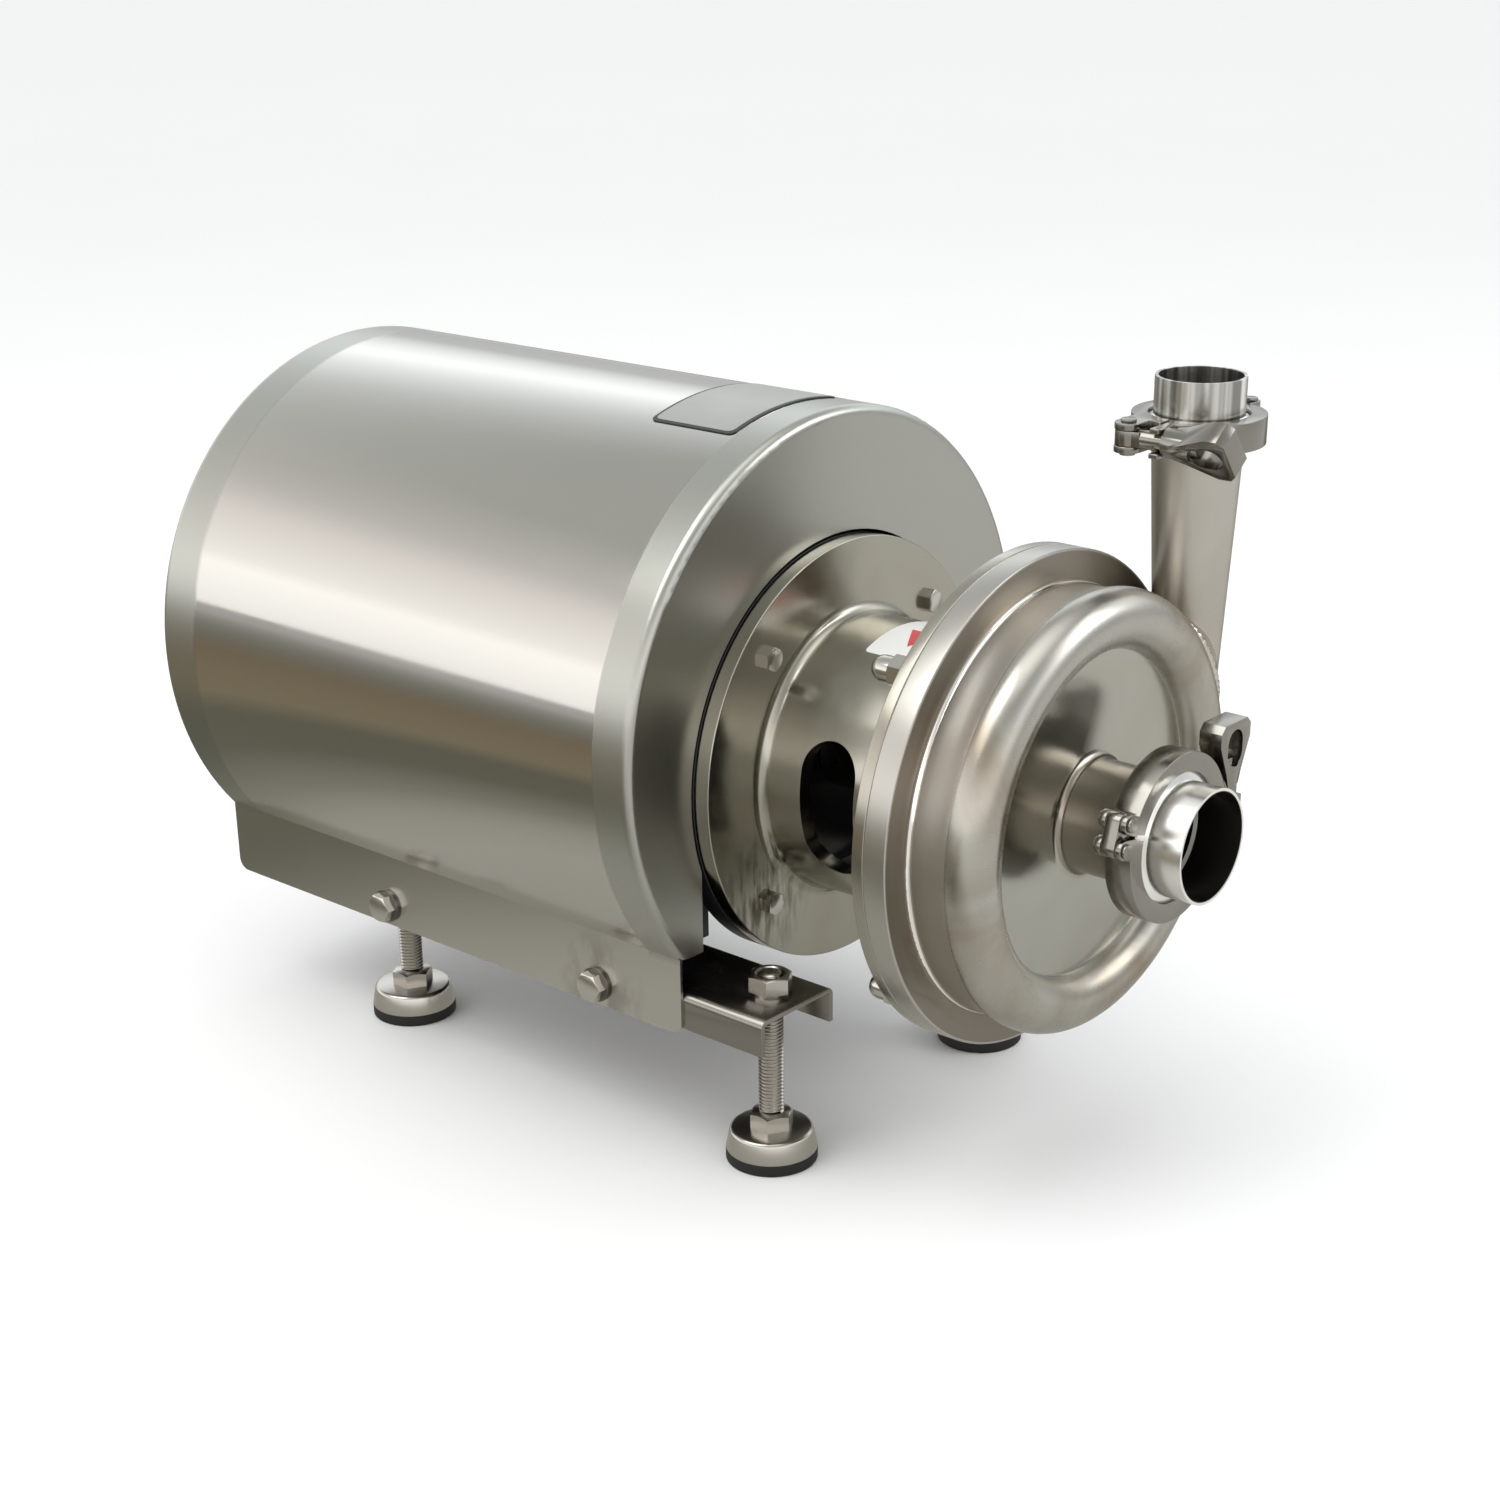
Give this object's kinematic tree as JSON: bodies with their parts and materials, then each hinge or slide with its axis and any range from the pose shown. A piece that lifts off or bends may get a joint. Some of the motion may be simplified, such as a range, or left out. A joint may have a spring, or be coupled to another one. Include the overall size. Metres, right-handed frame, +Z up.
{
  "type": "sanitary centrifugal pump",
  "caption": "Close-coupled stainless centrifugal pump: motor under a sheet shroud on rails with levelling feet, lantern, volute casing, conical outlet and clamped tube ends.",
  "frame": {"origin": "on the floor under the middle of the pump's length, on the shaft's vertical plane", "axes": "+X along the shaft towards the inlet, +Y towards the outlet's side, +Z up"},
  "size_m": [0.5242, 0.283, 0.3495],
  "materials": {
    "satin_steel": "satin, brushed",
    "polished_steel": "polished",
    "black_motor": "semi-gloss",
    "black_plastic": "matte",
    "black_rubber": "matte",
    "machined_steel": "machined",
    "copper_winding": "varnished",
    "white_seal": "matte",
    "seal_faces": "lapped"
  },
  "bodies": {
    "pump_frame": {"left_rail": "satin_steel", "right_rail": "satin_steel", "rail_nuts": "polished_steel", "shroud_shell": "satin_steel", "shroud_rear_plate": "satin_steel", "skirt_bolts": "polished_steel", "skirt_washers": "polished_steel", "motor_frame": "black_motor", "motor_flange": "black_motor", "motor_rear_shield": "black_motor", "stator": "copper_winding", "fan_cowl": "black_motor", "terminal_box": "black_motor", "terminal_lid": "black_motor", "cable_gland": "black_plastic", "motor_foot_bolts": "polished_steel", "motor_bearings": "polished_steel", "lantern": "satin_steel", "lantern_bolts": "polished_steel", "back_plate": "satin_steel", "casing_seal": "white_seal", "casing": "satin_steel", "casing_studs": "polished_steel", "cap_nuts": "polished_steel", "seal_seat": "seal_faces", "inlet_gasket": "white_seal", "inlet_ferrule": "polished_steel", "inlet_clamp_lower": "polished_steel", "inlet_clamp_upper": "polished_steel", "inlet_clamp_link": "polished_steel", "inlet_clamp_pins": "polished_steel", "outlet_gasket": "white_seal", "outlet_ferrule": "polished_steel", "outlet_clamp_rear": "polished_steel", "outlet_clamp_front": "polished_steel", "outlet_clamp_link": "polished_steel", "outlet_clamp_pins": "polished_steel"},
    "turning_group": {"motor_shaft": "machined_steel", "rotor_core": "machined_steel", "cooling_fan": "black_plastic", "shaft_key": "machined_steel", "pump_shaft": "polished_steel", "shaft_screws": "machined_steel", "seal_ring": "seal_faces", "seal_spring": "polished_steel", "impeller": "satin_steel", "impeller_nut": "polished_steel"},
    "inlet_bolt": {"inlet_swing_bolt": "polished_steel"},
    "inlet_nut": {"inlet_wing_nut": "polished_steel"},
    "outlet_bolt": {"outlet_swing_bolt": "polished_steel"},
    "outlet_nut": {"outlet_wing_nut": "polished_steel"},
    "foot_front_left": {"front_left_foot": "polished_steel", "front_left_pad": "black_rubber"},
    "foot_front_right": {"front_right_foot": "polished_steel", "front_right_pad": "black_rubber"},
    "foot_rear_left": {"rear_left_foot": "polished_steel", "rear_left_pad": "black_rubber"},
    "foot_rear_right": {"rear_right_foot": "polished_steel", "rear_right_pad": "black_rubber"}
  },
  "joints": [
    {"name": "shaft_spin", "type": "hinge", "parent": "pump_frame", "child": "turning_group", "pos_m": [0.0599, 0, 0.1734], "axis": [1, 0, 0], "continuous": true},
    {"name": "inlet_bolt_swing", "type": "hinge", "parent": "pump_frame", "child": "inlet_bolt", "pos_m": [0.2396, 0.0441, 0.1604], "axis": [-1, 0, 0], "range_deg": [0, 95]},
    {"name": "inlet_nut_turn", "type": "hinge", "parent": "inlet_bolt", "child": "inlet_nut", "pos_m": [0.2396, 0.0441, 0.1834], "axis": [0, 0, 1], "continuous": true},
    {"name": "outlet_bolt_swing", "type": "hinge", "parent": "pump_frame", "child": "outlet_bolt", "pos_m": [0.1799, 0.0499, 0.327], "axis": [0, 0, -1], "range_deg": [0, 95]},
    {"name": "outlet_nut_turn", "type": "hinge", "parent": "outlet_bolt", "child": "outlet_nut", "pos_m": [0.2029, 0.0499, 0.327], "axis": [1, 0, 0], "continuous": true},
    {"name": "front_left_foot_height", "type": "slide", "parent": "pump_frame", "child": "foot_front_left", "axis": [0, 0, 1], "range_m": [-0.005, 0.025]},
    {"name": "front_right_foot_height", "type": "slide", "parent": "pump_frame", "child": "foot_front_right", "axis": [0, 0, 1], "range_m": [-0.005, 0.025]},
    {"name": "rear_left_foot_height", "type": "slide", "parent": "pump_frame", "child": "foot_rear_left", "axis": [0, 0, 1], "range_m": [-0.005, 0.025]},
    {"name": "rear_right_foot_height", "type": "slide", "parent": "pump_frame", "child": "foot_rear_right", "axis": [0, 0, 1], "range_m": [-0.005, 0.025]}
  ]
}
